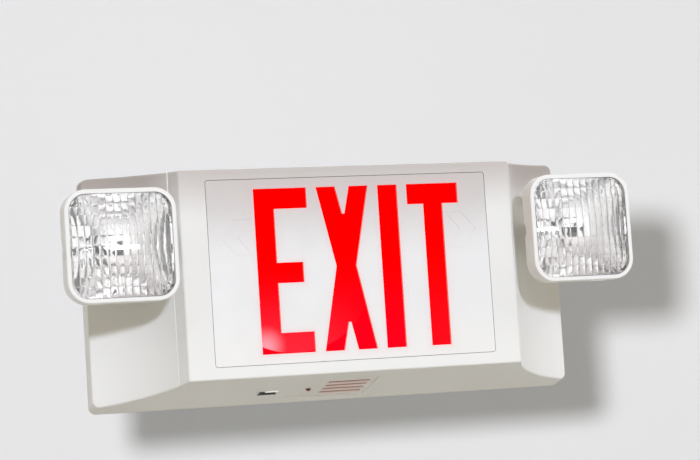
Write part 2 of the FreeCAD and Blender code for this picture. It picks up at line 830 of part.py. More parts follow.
def build_electronics():
    board_y = plate_front_y - size.post_height - size.board_thickness
    left = size.main_board_x - size.main_board_width / 2
    low = size.main_board_z - size.main_board_height / 2
    plate = box("charger_board_plate", left, board_y, low,
                size.main_board_width, size.board_thickness, size.main_board_height)
    holes = joined("charger_board_holes", [
        cylinder("charger_board_hole_%d" % (number + 1), x, board_y - 1, z,
                 size.screw_radius + size.neck_fit, size.board_thickness + 2)
        for number, (x, z) in enumerate(board_corners())])
    keep(less("charger_board", plate, holes), "charger_board")

    screws = []
    for number, (x, z) in enumerate(board_corners()):
        shank = cylinder("board_screw_shank_%d" % (number + 1), x, board_y, z,
                         size.screw_radius - size.neck_fit / 2, size.screw_length)
        head = cylinder("board_screw_head_%d" % (number + 1), x,
                        board_y - size.screw_head_height, z,
                        size.screw_head_radius, size.screw_head_height)
        screws.append(joined("board_screw_%d" % (number + 1), [shank, head]))
    keep(joined("board_screws", screws, "Part::Compound"), "board_screws")

    coil_x = size.main_board_x - size.main_board_width / 4
    coil_z = size.main_board_z
    coil_y = board_y - size.coil_depth
    coil = box("transformer_coil_block", coil_x - size.coil_width / 2, coil_y,
               coil_z - size.coil_height / 2, size.coil_width, size.coil_depth, size.coil_height)
    core_y = board_y - size.core_depth
    leg = size.core_height + size.core_gap * 2
    tunnel = box("transformer_tunnel", coil_x - size.coil_width, coil_y - 1, coil_z - leg / 2,
                 size.coil_width * 2, size.coil_depth - size.coil_depth / 3, leg)
    keep(less("transformer_coil", coil, tunnel), "transformer_coil")
    core = box("transformer_core_block", coil_x - size.core_width / 2, core_y,
               coil_z - size.core_height / 2, size.core_width, size.core_depth, size.core_height)
    gap = size.core_gap
    foot = box("transformer_core_slot", coil_x - size.coil_width / 2 - gap,
               board_y - size.coil_depth / 3 - gap * 2 - 0.8, coil_z - size.core_height,
               size.coil_width + gap * 2, size.coil_depth, size.core_height * 2)
    keep(less("transformer_core", core, foot), "transformer_core")

    cans = []
    for number in range(2):
        x = size.main_board_x + size.main_board_width / 4
        z = size.main_board_z + size.capacitor_radius * 3 * (number - 0.5)
        cans.append(cylinder("capacitor_%d" % (number + 1), x, board_y - size.capacitor_height,
                             z, size.capacitor_radius, size.capacitor_height))
    keep(joined("filter_capacitors", cans, "Part::Compound"), "filter_capacitors")

    cells = []
    count = int(size.cell_count.value)
    cell_y = plate_front_y - size.cell_radius
    cell_z = size.battery_z - size.cell_length / 2
    for number in range(count):
        x = size.battery_x + size.cell_radius * (2 * number - (count - 1))
        cells.append(cylinder("battery_cell_%d" % (number + 1), x, cell_y, cell_z,
                              size.cell_radius, size.cell_length, "z"))
    span = size.cell_radius * (count - 1) * 2
    cells.append(box("battery_wrap", size.battery_x - span / 2, cell_y - size.cell_radius,
                     cell_z, span, size.cell_radius * 2, size.cell_length))
    keep(joined("battery_pack", cells), "battery_pack")

    pack_half = size.cell_radius * count + size.seam
    top_y = plate_front_y - size.cell_radius * 2 - size.seam
    low = size.battery_z - size.strap_width / 2
    bridge = box("strap_block", size.battery_x - pack_half - size.strap_thickness,
                 top_y - size.strap_thickness, low,
                 (pack_half + size.strap_thickness) * 2,
                 plate_front_y - top_y + size.strap_thickness, size.strap_width)
    inside = box("strap_inside", size.battery_x - pack_half, top_y, low - 1, pack_half * 2,
                 plate_front_y - top_y + 1, size.strap_width + 2)
    arch = less("strap_arch", bridge, inside)
    feet = [box("strap_foot_%s" % name,
                size.battery_x + (pack_half + size.strap_foot / 2) * side - size.strap_foot / 2,
                plate_front_y - size.strap_thickness, low,
                size.strap_foot, size.strap_thickness, size.strap_width)
            for name, side in SIDES.items()]
    keep(joined("battery_strap", [arch] + feet), "battery_strap")

    half = size.terminal_width / 2
    block = box("terminal_block_body", -half, plate_front_y - size.terminal_depth,
                size.terminal_z - size.terminal_height / 2,
                size.terminal_width, size.terminal_depth, size.terminal_height)
    ways = joined("terminal_ways", [
        cylinder("terminal_way_%d" % (number + 1), half * 2 / 3 * (number - 1),
                 plate_front_y - size.terminal_depth - 1, size.terminal_z,
                 size.terminal_height / 5, size.terminal_depth / 2)
        for number in range(3)])
    keep(less("terminal_block", block, ways), "terminal_block")


# Lamp heads, each drawn about the point where its track slot is centred

def hexagon(sketch, flats):
    corner = flats / root(Size.of(3))
    half = flats / 2
    outline(sketch, [(corner / 2, -half), (corner, 0), (corner / 2, half),
                     (-corner / 2, half), (-corner, 0), (-corner / 2, -half)])


def squared(width, radius):
    return lambda sketch: rectangle(sketch, width, width, radius=radius)


def build_lamp(name, side):
    def finish(body, label):
        place(body, lamp_x * side, pivot_y, size.lamp_z)
        return keep(body, "%s_%s" % (name, label))

    def start(label):
        return new_body("%s_%s" % (name, label))

    corner = size.lamp_radius
    track_half = size.track_height / 2

    bezel = start("lamp_bezel")
    inner_w = size.lamp_width - size.bezel_wall * 2
    slab(bezel, name + "_bezel_block", bezel_rear_y, bezel_front_y,
         squared(size.lamp_width, corner))
    fillet(bezel, name + "_bezel_edge", size.bezel_edge, lambda edge, middle:
           abs(middle.y - bezel_front_y.value) < 0.01)
    well(bezel, name + "_bezel_hollow", lens_seat_y, bezel_rear_y + 1,
         squared(inner_w, corner - size.bezel_wall))
    well(bezel, name + "_bezel_opening", bezel_front_y - 1, bezel_rear_y,
         squared(size.lamp_width - size.bezel_lip * 2, corner - size.bezel_lip))
    notch = sketch_on(bezel, name + "_notch_side", "YZ_Plane")
    circle(notch, track_half, bezel_rear_y - size.notch_depth + track_half, 0)
    cut = bezel.newObject("PartDesign::Pocket", name + "_bezel_notches")
    cut.Profile = notch
    cut.Type = "ThroughAll"
    cut.Midplane = True
    finish(bezel, "lamp_bezel")

    lens = start("lamp_lens")
    flange_w = inner_w - size.bowl_gap * 2
    slab(lens, name + "_lens_flange", lens_back_y, lens_seat_y,
         squared(flange_w, corner - size.bezel_wall - size.bowl_gap))
    crown_w = size.lamp_width - (size.bezel_lip + size.bowl_gap) * 2
    slab(lens, name + "_lens_crown", lens_back_y, lens_seat_y - size.lens_crown,
         squared(crown_w, corner - size.bezel_lip - size.bowl_gap))
    far = size.lamp_width
    rise = size.lens_crown - size.lens_edge
    sphere = (far * far * 0.36 + rise * rise) / (rise * 2)
    crown_y = lens_seat_y - size.lens_crown
    edge_y = crown_y + sphere - root(sphere * sphere - far * far)
    turned(lens, name + "_crown_cut", [
        (0, crown_y - 1), (far, crown_y - 1), (far, edge_y), (0, crown_y)],
        {2: ("in", sphere)}, cut=True)
    hollow = size.lens_wall
    inside_w = crown_w - hollow * 2
    turned_hollow_y = lens_seat_y
    well(lens, name + "_lens_hollow", turned_hollow_y - size.lens_wall / 2, lens_back_y + 1,
         squared(inside_w, corner - size.bezel_lip - size.bowl_gap - hollow))
    finish(lens, "lamp_lens")

    bowl = start("lamp_bowl")
    slab(bowl, name + "_bowl_skirt", bezel_rear_y, bowl_front_y,
         squared(bowl_width, corner - size.bezel_wall - size.bowl_gap))
    radius = size.bowl_radius
    skirt_r = root(radius * radius - bezel_rear_y * bezel_rear_y)
    turned(bowl, name + "_bowl_dome", [
        (0, bezel_rear_y - 1), (skirt_r - 1, bezel_rear_y - 1), (skirt_r, bezel_rear_y),
        (0, radius)], {2: radius})
    inner = bowl_inner_radius
    floor_y = bezel_rear_y - size.bowl_wall
    inner_r = root(inner * inner - floor_y * floor_y)
    well(bowl, name + "_bowl_hollow", bowl_front_y - 1, floor_y,
         squared(bowl_width - size.bowl_wall * 2,
                 corner - size.bezel_wall - size.bowl_gap - size.bowl_wall))
    turned(bowl, name + "_dome_hollow", [
        (0, floor_y - 1), (inner_r, floor_y - 1), (inner_r, floor_y), (0, inner)],
        {2: inner}, cut=True)
    slot = sketch_on(bowl, name + "_track_side", "YZ_Plane")
    rectangle(slot, radius + size.notch_depth - bezel_rear_y, size.track_height,
              (radius + size.notch_depth + bezel_rear_y) / 2, 0)
    cut = bowl.newObject("PartDesign::Pocket", name + "_track_slot")
    cut.Profile = slot
    cut.Type = "ThroughAll"
    cut.Midplane = True
    finish(bowl, "lamp_bowl")

    reflector = start("lamp_reflector")
    slab(reflector, name + "_reflector_flange", bowl_front_y, lens_back_y,
         squared(flange_w, corner - size.bezel_wall - size.bowl_gap))
    rim, hole = size.reflector_radius, size.reflector_hole
    depth, skin = size.reflector_depth, size.reflector_wall
    bend = (rim * rim / 4 + depth * depth) / depth
    turned(reflector, name + "_reflector_dish", [
        (0, bowl_front_y - 1), (rim, bowl_front_y - 1), (rim, bowl_front_y),
        (hole + skin * 2, socket_front_y), (0, socket_front_y)], {2: bend})
    turned(reflector, name + "_reflector_hollow", [
        (0, lens_back_y - 1), (rim - skin, lens_back_y - 1), (rim - skin, bowl_front_y),
        (hole + skin, reflector_back_y), (hole, reflector_back_y), (hole, socket_front_y + 1),
        (0, socket_front_y + 1)], {2: bend}, cut=True)
    finish(reflector, "lamp_reflector")

    socket = start("lamp_socket")
    socket_back = socket_front_y + size.socket_length
    base_r = size.bulb_base_radius + size.neck_fit
    base_back = socket_front_y + size.bulb_base_length + size.seam
    turned(socket, name + "_socket_turned", [
        (base_r, socket_front_y), (size.socket_radius, socket_front_y),
        (size.socket_radius, socket_back), (0, socket_back), (0, base_back),
        (base_r, base_back)])
    finish(socket, "lamp_socket")

    bulb = start("lamp_bulb")
    glass = size.bulb_radius
    nose_y = socket_front_y - size.bulb_length
    turned(bulb, name + "_bulb_turned", [
        (0, nose_y), (glass, nose_y + glass), (glass, socket_front_y - glass / 2),
        (size.bulb_base_radius, socket_front_y),
        (size.bulb_base_radius, socket_front_y + size.bulb_base_length),
        (0, socket_front_y + size.bulb_base_length)], {0: glass})
    finish(bulb, "lamp_bulb")

    # The neck passes the track slot and the cover's boss, and a nut holds it at each end.
    neck = start("swivel_neck")
    shaft, bore = size.neck_radius, size.neck_bore
    seat = size.bowl_radius + size.bowl_gap
    front_r = size.collar_front_radius
    seat_in = root(seat * seat - shaft * shaft)
    seat_out = root(seat * seat - front_r * front_r)
    shoe_front = bowl_inner_radius - size.bowl_gap - size.shoe_thickness
    track_nut_front = shoe_front - size.track_nut_thickness
    boss = boss_y - pivot_y
    collar_back = boss - size.running_gap
    washer_front = boss + size.wall + size.running_gap
    nut_front = washer_front + size.washer_thickness
    nut_back = nut_front + size.swivel_nut_thickness
    turned(neck, name + "_neck_turned", [
        (bore, track_nut_front - size.thread_end), (shaft, track_nut_front - size.thread_end),
        (shaft, seat_in), (front_r, seat_out), (size.collar_radius, collar_back - size.collar_band),
        (size.collar_radius, collar_back), (shaft, collar_back),
        (shaft, nut_back + size.thread_end), (bore, nut_back + size.thread_end)],
        {2: ("in", seat)})
    finish(neck, "swivel_neck")

    thread_r = shaft + size.neck_fit / 2
    shoe = start("track_shoe")
    ball = bowl_inner_radius - size.bowl_gap
    edge = size.shoe_width
    slab(shoe, name + "_shoe_block", ball, shoe_front, lambda sketch: rectangle(
        sketch, size.shoe_width, size.shoe_height, radius=size.shoe_corner))
    turned(shoe, name + "_shoe_curve", [
        (0, ball), (edge, root(ball * ball - edge * edge)), (edge, ball + 1), (0, ball + 1)],
        {0: ("in", ball)}, cut=True)
    well(shoe, name + "_shoe_bore", shoe_front - 1, ball + 1,
         lambda sketch: circle(sketch, thread_r))
    finish(shoe, "track_shoe")

    for label, flats, front, thickness in (
            ("track_nut", size.track_nut_flats, track_nut_front, size.track_nut_thickness),
            ("swivel_nut", size.swivel_nut_flats, nut_front, size.swivel_nut_thickness)):
        nut = start(label)
        slab(nut, "%s_%s_block" % (name, label), front + thickness, front,
             lambda sketch: hexagon(sketch, flats))
        well(nut, "%s_%s_bore" % (name, label), front - 1, front + thickness + 1,
             lambda sketch: circle(sketch, thread_r))
        finish(nut, label)

    washer = start("swivel_washer")
    turned(washer, name + "_washer_turned", [
        (thread_r, washer_front), (size.washer_radius, washer_front),
        (size.washer_radius, nut_front), (thread_r, nut_front)])
    finish(washer, "swivel_washer")


build_front_cover()
build_back_plate()
build_sign_face()
build_underside()
build_electronics()
for lamp_name, lamp_side in SIDES.items():
    build_lamp(lamp_name, lamp_side)

doc.recompute()
for item in doc.Objects:
    if "Invalid" in item.State or "Error" in item.State:
        raise RuntimeError("%s did not build: %s" % (item.Name, item.State))
for item in subparts:
    if item.Shape.isNull() or not item.Shape.isValid():
        raise RuntimeError("%s has no valid shape" % item.Label)

os.makedirs("parts", exist_ok=True)
for item in subparts:
    item.Shape.exportStep("parts/%s.step" % item.Label)
print("%d sub-parts written" % len(subparts))
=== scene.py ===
"""Looks of the emergency exit light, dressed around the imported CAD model.

Everything is in metres in the CAD frame: +X to the sign's right, +Y into the wall, +Z up.
"""

import math

import bmesh
import bpy
from mathutils import Euler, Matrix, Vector


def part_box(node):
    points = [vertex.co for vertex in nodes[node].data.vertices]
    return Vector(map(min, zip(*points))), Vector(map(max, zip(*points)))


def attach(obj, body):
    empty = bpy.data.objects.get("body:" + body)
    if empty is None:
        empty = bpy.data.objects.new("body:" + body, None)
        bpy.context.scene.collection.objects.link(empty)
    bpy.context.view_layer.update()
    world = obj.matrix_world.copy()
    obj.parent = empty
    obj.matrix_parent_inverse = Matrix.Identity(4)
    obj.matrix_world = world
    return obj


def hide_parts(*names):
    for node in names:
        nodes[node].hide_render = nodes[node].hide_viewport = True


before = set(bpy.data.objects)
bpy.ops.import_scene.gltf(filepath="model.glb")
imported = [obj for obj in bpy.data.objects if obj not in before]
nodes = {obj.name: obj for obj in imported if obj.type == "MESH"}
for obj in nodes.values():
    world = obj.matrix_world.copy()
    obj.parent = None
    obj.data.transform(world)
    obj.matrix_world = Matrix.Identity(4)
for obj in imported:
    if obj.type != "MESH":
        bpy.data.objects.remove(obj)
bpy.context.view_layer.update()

MM = 0.001

FACE_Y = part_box("stencil_panel")[0][1]
PANEL_LOW, PANEL_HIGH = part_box("stencil_panel")
PANEL_Z = (PANEL_LOW[2] + PANEL_HIGH[2]) / 2


# Materials

class Graph:
    """A material's node tree, with short calls for the nodes used here."""

    def __init__(self, name):
        self.material = bpy.data.materials.new(name)
        self.material.use_nodes = True
        self.tree = self.material.node_tree
        self.shader = self.tree.nodes["Principled BSDF"]
        self.output = self.tree.nodes["Material Output"]
        self.place = self.node("ShaderNodeTexCoord").outputs["Object"]

    def node(self, kind, **settings):
        made = self.tree.nodes.new(kind)
        for key, value in settings.items():
            setattr(made, key, value)
        return made

    def link(self, value, socket):
        if isinstance(value, bpy.types.NodeSocket):
            self.tree.links.new(value, socket)
        else:
            socket.default_value = value

    def math(self, operation, *values, clamp=False):
        made = self.node("ShaderNodeMath", operation=operation, use_clamp=clamp)
        for value, socket in zip(values, made.inputs):
            self.link(value, socket)
        return made.outputs[0]

    def times(self, first, *values):
        for value in values:
            first = self.math("MULTIPLY", first, value)
        return first

    def plus(self, first, *values):
        for value in values:
            first = self.math("ADD", first, value)
        return first

    def distance(self, x, z, spot):
        """How far a place on the face is from a spot given as x and z."""
        from_x = self.math("SUBTRACT", x, spot[0])
        from_z = self.math("SUBTRACT", z, spot[1])
        return self.math("SQRT", self.plus(self.times(from_x, from_x),
                                           self.times(from_z, from_z)))

    def span(self, value, low, high, out_low=0.0, out_high=1.0):
        """Takes low to high smoothly to out_low to out_high."""
        made = self.node("ShaderNodeMapRange", interpolation_type="SMOOTHSTEP")
        for key, item in zip(("Value", "From Min", "From Max", "To Min", "To Max"),
                             (value, low, high, out_low, out_high)):
            self.link(item, made.inputs[key])
        return made.outputs[0]

    def noise(self, scale, detail=2.0, roughness=0.5):
        made = self.node("ShaderNodeTexNoise")
        self.link(self.place, made.inputs["Vector"])
        made.inputs["Scale"].default_value = scale
        made.inputs["Detail"].default_value = detail
        made.inputs["Roughness"].default_value = roughness
        return made.outputs["Fac"]

    def axes(self):
        made = self.node("ShaderNodeSeparateXYZ")
        self.link(self.place, made.inputs[0])
        return made.outputs

    def mix(self, amount, first, second):
        made = self.node("ShaderNodeMix", data_type="RGBA")
        self.link(amount, made.inputs[0])
        self.link(first, made.inputs[6])
        self.link(second, made.inputs[7])
        return made.outputs[2]

    def bump(self, height, distance):
        made = self.node("ShaderNodeBump")
        made.inputs["Strength"].default_value = 1.0
        made.inputs["Distance"].default_value = distance
        self.link(height, made.inputs["Height"])
        self.link(made.outputs[0], self.shader.inputs["Normal"])

    def set(self, **values):
        for key, value in values.items():
            self.link(value, self.shader.inputs[key.replace("_", " ")])
        return self.material


def rgb(red, green, blue):
    return (red, green, blue, 1.0)


def scaled(colour, factor):
    return rgb(*[channel * factor for channel in colour[:3]])


GRAIN_HEIGHT, GRAIN_SCALE = 0.000012, 2600
# Painted light and shade: heights over which the plastic gets lighter towards the bottom, and
# depths over which its top gets darker further back.
PAINTED_LIGHT_SPAN = (-0.03, -0.09)
PAINTED_SHADE_DEPTH_SPAN = (-0.088, -0.05)


def plastic(name, colour, roughness=0.45, mottle=0.02, painted_top_shade=None):
    """A moulded plastic: faint colour drift, uneven gloss and a fine moulded grain.

    The last argument gives the heights between which the colour changes, the colour at the upper
    one
    and the colour there further back: painted shade, darker towards the top and further back.
    With it the plastic is also painted lighter towards the bottom: painted light.
    """
    graph = Graph(name)
    drift = graph.span(graph.noise(9, 3), 0.3, 0.7)
    shade = graph.mix(drift, scaled(colour, 1 - mottle), scaled(colour, 1 + mottle))
    if painted_top_shade:
        start, end, upper, deep = painted_top_shade
        _, depth, height = graph.axes()
        # Painted light towards the bottom, then painted shade towards the top and, at the top,
        # further back.
        shade = graph.mix(graph.span(height, *PAINTED_LIGHT_SPAN), shade, BOTTOM_LIGHT)
        rise = graph.span(height, start, end)
        shade = graph.mix(rise, shade, upper)
        shade = graph.mix(graph.times(rise, graph.span(depth, *PAINTED_SHADE_DEPTH_SPAN)), shade, deep)
    gloss = graph.span(graph.noise(60, 2), 0.3, 0.7, roughness * 0.9, roughness * 1.1)
    graph.bump(graph.noise(GRAIN_SCALE, 2), GRAIN_HEIGHT)
    return graph.set(Base_Color=shade, Roughness=gloss)


def metal(name, colour, roughness, brushed=0.0):
    graph = Graph(name)
    drift = graph.span(graph.noise(120, 4), 0.3, 0.7)
    shade = graph.mix(drift, scaled(colour, 0.93), colour)
    gloss = graph.span(graph.noise(400, 3), 0.3, 0.7, roughness * 0.8, roughness * 1.2)
    if brushed:
        graph.bump(graph.noise(1800, 3), brushed)
    return graph.set(Base_Color=shade, Roughness=gloss, Metallic=1.0)


def clear(name, colour, roughness, ior=1.49):
    graph = Graph(name)
    gloss = graph.span(graph.noise(90, 2), 0.3, 0.7, roughness * 0.7, roughness * 1.3)
    return graph.set(Base_Color=colour, Roughness=gloss, Transmission_Weight=1.0, IOR=ior)


GLOW_CENTRE, GLOW_EDGE = (-0.058, 0.005), (0.0808, 0.0795)
HOT_SPOT, HOT_REACH = (-0.087, -0.068), 0.021


def red_glow(name):
    """The lit red diffuser: purest at the top, paler and pinker low down near its lamps."""
    graph = Graph(name)
    x, _, z = graph.axes()
    low = graph.span(z, 0.02, -0.078)
    inside = graph.span(graph.distance(x, z, GLOW_CENTRE), *GLOW_EDGE)
    left = graph.span(x, 0.03, -0.06)
    pale = graph.times(low, low, inside, left, 0.022)
    hot = graph.times(graph.span(graph.distance(x, z, HOT_SPOT), HOT_REACH, 0.0), inside, 0.34)
    warm = graph.times(graph.span(x, 0.03, 0.085), low, 0.004)
    base = graph.times(graph.span(z, 0.05, -0.02), 0.0004)
    green = graph.plus(base, warm, pale, hot)
    blue = graph.plus(graph.times(low, 0.012), graph.times(pale, 1.5), graph.times(hot, 1.15))
    red = graph.span(graph.noise(30, 2), 0.2, 0.8, 0.96, 1.04)
    colour = graph.node("ShaderNodeCombineColor")
    for value, socket in zip((red, green, blue), colour.inputs):
        graph.link(value, socket)
    graph.set(Base_Color=rgb(0.35, 0.0, 0.0), Roughness=0.6)
    graph.shader.inputs["Specular IOR Level"].default_value = 0.0
    graph.link(colour.outputs[0], graph.shader.inputs["Emission Color"])
    graph.shader.inputs["Emission Strength"].default_value = 0.97
    return graph.material


def lit(name, colour, glow, strength, roughness=0.35):
    """A clear or tinted plastic with a lamp behind it; on the test button, which has none, the
    glow is painted light.
    """
    graph = Graph(name)
    drift = graph.span(graph.noise(220, 2), 0.25, 0.75, 0.75, 1.1)
    graph.set(Base_Color=colour, Roughness=roughness)
    shade = graph.mix(graph.math("SUBTRACT", 1.0, drift, clamp=True), glow, scaled(glow, 0.5))
    graph.link(shade, graph.shader.inputs["Emission Color"])
    graph.shader.inputs["Emission Strength"].default_value = strength
    return graph.material


def panel_plastic(name, colour, painted_halo):
    """The face panel's smooth white plastic, with a painted red glow near the lit letters,
    painted light low down and painted shade high up.
    """
    graph = Graph(name)
    near = graph.node("ShaderNodeAttribute", attribute_name="painted_letter_glow")
    drift = graph.span(graph.noise(8, 3), 0.3, 0.7)
    shade = graph.mix(drift, scaled(colour, 0.985), colour)
    # Painted light towards the bottom, painted shade towards the top, and the painted red glow
    # of the letters.
    height = graph.axes()[2]
    shade = graph.mix(graph.span(height, -0.02, -0.08), shade, BOTTOM_LIGHT)
    shade = graph.mix(graph.span(height, 0.0, 0.092), shade, TOP_SHADE)
    shade = graph.mix(near.outputs["Fac"], shade, painted_halo)
    graph.bump(graph.noise(1500, 2), 0.000006)
    gloss = graph.span(graph.noise(50, 2), 0.3, 0.7, 0.32, 0.4)
    return graph.set(Base_Color=shade, Roughness=gloss)


def laminated(name, colour, pitch):
    """Stacked sheet edges, as on a transformer core."""
    graph = Graph(name)
    wave = graph.node("ShaderNodeTexWave", bands_direction="Y")
    graph.link(graph.place, wave.inputs["Vector"])
    wave.inputs["Scale"].default_value = 1 / pitch
    shade = graph.mix(wave.outputs["Fac"], scaled(colour, 0.6), colour)
    graph.bump(wave.outputs["Fac"], 0.0001)
    return graph.set(Base_Color=shade, Roughness=0.45, Metallic=0.7)


WHITE = rgb(0.865, 0.855, 0.835)
# Painted light and shade: BOTTOM_LIGHT is painted light low on the housing and panel, TOP_SHADE
# is painted shade high on the panel, and the line after them holds the housing's painted top
# shade.
BOTTOM_LIGHT = rgb(0.915, 0.905, 0.885)
TOP_SHADE = rgb(0.62, 0.575, 0.56)
HOUSING_PAINTED_TOP_SHADE = (0.045, 0.1, rgb(0.60, 0.55, 0.53), rgb(0.44, 0.39, 0.36))

# The housing's plastic carries painted light at its bottom and painted shade at its top.
housing_white = plastic("housing_white", WHITE, 0.42, painted_top_shade=HOUSING_PAINTED_TOP_SHADE)
plate_white = plastic("plate_white", rgb(0.85, 0.84, 0.815), 0.5)
# The panel's plastic carries a painted red glow near the letters, painted light low down and
# painted shade high up.
panel_white = panel_plastic("panel_white", rgb(0.88, 0.88, 0.885), rgb(0.95, 0.50, 0.52))
# Painted highlight: the crease bead is whiter and glossier than the housing it belongs to.
bead_painted_highlight = plastic("bead_painted_highlight", rgb(0.97, 0.965, 0.955), 0.25)
lamp_white = plastic("lamp_white", rgb(0.945, 0.935, 0.92), 0.38)
inner_white = plastic("inner_white", rgb(0.82, 0.82, 0.80), 0.5)
# Painted light: the test button has no lamp, and its glow is a painted highlight.
button_white = lit("button_white", rgb(0.95, 0.95, 0.95), rgb(1.0, 1.0, 1.0), 0.62)
# Painted shade: a dark red for the strips that stand in for the shaded slot walls.
slot_painted_shade = plastic("slot_painted_shade", rgb(0.14, 0.004, 0.003), 0.6)
nylon = plastic("natural_nylon", rgb(0.66, 0.62, 0.53), 0.5)
socket_grey = plastic("socket_ceramic", rgb(0.12, 0.115, 0.11), 0.55)
black = plastic("black_plastic", rgb(0.02, 0.02, 0.02), 0.5)
board = plastic("solder_resist", rgb(0.02, 0.12, 0.045), 0.25, mottle=0.15)
tape = plastic("winding_tape", rgb(0.62, 0.42, 0.05), 0.35, mottle=0.08)
sleeve = plastic("battery_sleeve", rgb(0.03, 0.08, 0.25), 0.3, mottle=0.05)
red_light = red_glow("lit_red_diffuser")
zinc = metal("zinc_plate", rgb(0.62, 0.62, 0.60), 0.35, 0.00001)
bright = metal("bright_reflector", rgb(0.97, 0.97, 0.97), 0.10)
tungsten = metal("tungsten", rgb(0.09, 0.085, 0.08), 0.4, 0.00001)
core = laminated("laminated_core", rgb(0.10, 0.09, 0.085), 0.0006)
lens_clear = clear("prismatic_clear", rgb(1.0, 1.0, 1.0), 0.04)
bulb_clear = clear("bulb_glass", rgb(0.98, 0.98, 0.98), 0.01, 1.45)
down_light = lit("lit_down_light", rgb(0.40, 0.13, 0.11), rgb(0.90, 0.29, 0.24), 0.95)
status_red = lit("status_red", rgb(0.13, 0.004, 0.004), rgb(0.5, 0.01, 0.01), 0.04, 0.3)
led_yellow = lit("led_phosphor", rgb(0.9, 0.75, 0.3), rgb(1.0, 0.5, 0.4), 1.0)

finishes = {
    "front_cover": housing_white, "back_plate": plate_white, "red_diffuser": red_light,
    "light_tray": inner_white, "legend_led_board": board, "legend_leds": led_yellow,
    "down_light_lens": down_light, "service_board": board, "test_switch": black,
    "switch_plunger": black, "test_button": button_white, "status_led": status_red,
    "led_spacer": black, "charger_board": board, "board_screws": zinc,
    "transformer_coil": tape, "transformer_core": core, "filter_capacitors": black,
    "battery_pack": sleeve, "battery_strap": inner_white, "terminal_block": nylon,
    "lamp_bezel": lamp_white, "lamp_bowl": lamp_white, "lamp_reflector": bright,
    "lamp_socket": socket_grey, "lamp_bulb": bulb_clear, "swivel_neck": lamp_white,
    "track_shoe": nylon, "track_nut": zinc, "swivel_nut": zinc, "swivel_washer": zinc,
    "stencil_panel": panel_white, "lamp_lens": lens_clear,
}


def finish_node(name, item):
    kind = name.split("_", 1)[1] if name.startswith(("left_", "right_")) else name
    item.data.materials.clear()
    item.data.materials.append(finishes[kind])


for node_name, node_object in nodes.items():
    finish_node(node_name, node_object)


# Pieces

def finished_mesh(body, name):
    mesh = bpy.data.meshes.new(name)
    body.to_mesh(mesh)
    body.free()
    return mesh


def new_object(name, mesh, material, smooth=False):
    item = bpy.data.objects.new(name, mesh)
    bpy.context.collection.objects.link(item)
    mesh.materials.clear()
    mesh.materials.append(material)
    mesh.shade_smooth() if smooth else mesh.shade_flat()
    return item


LETTER_HEIGHT = 152.4
STROKE = 19.05
LETTER_WIDTH = 50.8
LETTER_GAP = 9.525
LEGEND_LEFT = -91.6
LEGEND_TOP = 77.0


def letter_shapes():
    """The legend's outlines in millimetres, each drawn from its letter's top left corner."""
    high, bar, wide = LETTER_HEIGHT, STROKE, LETTER_WIDTH
    arm, arm_top, arm_foot = 44, -68.8, -87.6
    e_shape = [(0, 0), (wide, 0), (wide, -bar), (bar, -bar), (bar, arm_top),
               (arm, arm_top), (arm, arm_foot), (bar, arm_foot), (bar, bar - high),
               (wide, bar - high), (wide, -high), (0, -high)]
    leg, half_tip, waist, waist_half = 18.5, 1.1, 0.486 * high, 9.7
    centre, upper_notch, lower_notch = wide / 2, -25.5, 26 - high
    x_shape = [(0, 0), (leg, 0), (centre - half_tip, upper_notch),
               (centre + half_tip, upper_notch), (wide - leg, 0), (wide, 0),
               (centre + waist_half, -waist), (wide, -high), (wide - leg, -high),
               (centre + half_tip, lower_notch), (centre - half_tip, lower_notch),
               (leg, -high), (0, -high), (centre - waist_half, -waist)]
    i_shape = [(0, 0), (bar, 0), (bar, -high), (0, -high)]
    stem = (wide - bar) / 2
    t_shape = [(0, 0), (wide, 0), (wide, -bar), (wide - stem, -bar), (wide - stem, -high),
               (stem, -high), (stem, -bar), (0, -bar)]
    shapes, left = [], LEGEND_LEFT
    for shape, width in ((e_shape, wide), (x_shape, wide), (i_shape, bar), (t_shape, wide)):
        shapes.append([(left + x, LEGEND_TOP + z) for x, z in shape])
        left += width + LETTER_GAP
    return shapes


def chevron(tip, side):
    """An arrowhead outline, with its point at tip and opening towards -side."""
    stroke, depth, half = 15.5, 29, 16.5
    level = LEGEND_TOP - 0.29 * LETTER_HEIGHT
    return [(tip - side * back, level + up) for back, up in (
        (0, 0), (depth - stroke, half), (depth, half), (stroke, 0),
        (depth, -half), (depth - stroke, -half))]


def offset(points, distance):
    """The outline moved outwards by a distance, with mitred corners."""
    area = sum(a[0] * b[1] - b[0] * a[1] for a, b in zip(points, points[1:] + points[:1]))
    turn = 1 if area > 0 else -1
    moved = []
    for number, point in enumerate(points):
        before = Vector(point) - Vector(points[number - 1])
        after = Vector(points[(number + 1) % len(points)]) - Vector(point)
        normals = [Vector((side.y, -side.x)).normalized() * turn for side in (before, after)]
        mitre = (normals[0] + normals[1]) / (1 + normals[0].dot(normals[1]))
        moved.append(tuple(Vector(point) + mitre * distance))
    return moved


def rounded_rectangle(width, height, radius, z, steps=8):
    points = []
    for quarter in range(4):
        angle = math.pi / 2 * quarter
        across = (width / 2 - radius) * (1 if quarter in (0, 3) else -1)
        up = (height / 2 - radius) * (1 if quarter in (0, 1) else -1)
        for step in range(steps + 1):
            turn = angle + math.pi / 2 * step / steps
            points.append((across + radius * math.cos(turn),
                           z + up + radius * math.sin(turn)))
    return points


